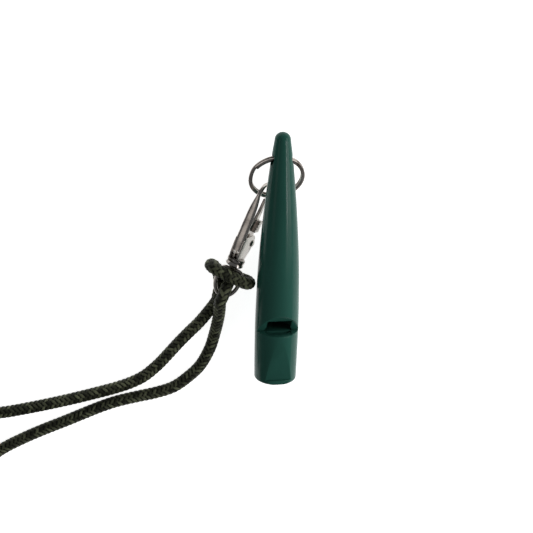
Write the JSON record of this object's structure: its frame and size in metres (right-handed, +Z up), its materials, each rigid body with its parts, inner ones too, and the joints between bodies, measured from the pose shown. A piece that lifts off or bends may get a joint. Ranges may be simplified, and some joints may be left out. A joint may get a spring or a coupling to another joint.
{
  "type": "training whistle",
  "caption": "Slim moulded whistle for training dogs, on a split ring with a swivel snap hook and a looped braided lanyard.",
  "frame": {"origin": "centre of the whistle's mouth end face", "axes": "+Y from the mouth to the tail along the whistle, +Z up, on the window's side, as it lies on a table"},
  "size_m": [0.1593, 0.1348, 0.0139],
  "materials": {
    "green_plastic": "glossy moulding",
    "ring_steel": "bright nickel plated spring wire",
    "hook_chrome": "bright plated die casting",
    "spring_steel": "plain spring wire",
    "cord_braid": "round braid, dark olive"
  },
  "bodies": {
    "whistle": {"whistle_body": "green_plastic", "fipple_plug": "green_plastic"},
    "ring": {"split_ring": "ring_steel"},
    "hook": {"hook_frame": "hook_chrome", "gate_pin": "hook_chrome", "gate_spring": "spring_steel"},
    "gate": {"gate_lever": "hook_chrome"},
    "swivel": {"swivel_eye": "hook_chrome", "lanyard_hitch": "cord_braid", "lanyard_strand_left": "cord_braid", "lanyard_strand_right": "cord_braid", "lanyard_coil": "cord_braid"}
  },
  "joints": [
    {"name": "ring_swing", "type": "hinge", "parent": "whistle", "child": "ring", "pos_m": [0, 0.07197, 0.00201], "axis": [0.9816, 0.0053, -0.1907], "range_deg": [0, 290]},
    {"name": "hook_tilt", "type": "hinge", "parent": "ring", "child": "hook", "pos_m": [-0.00492, 0.05867, -0.00395], "axis": [0.887, -0.3141, -0.3385], "range_deg": [0, 20]},
    {"name": "gate_open", "type": "hinge", "parent": "hook", "child": "gate", "pos_m": [-0.00974, 0.04331, -0.00438], "axis": [0.8618, -0.2826, 0.4213], "range_deg": [0, 20], "stiffness_Nm_per_rad": 0.01, "springref_deg": -34.38},
    {"name": "eye_swivel", "type": "hinge", "parent": "hook", "child": "swivel", "pos_m": [-0.01373, 0.03654, -0.00076], "axis": [-0.3458, -0.9349, 0.0802], "continuous": true}
  ]
}
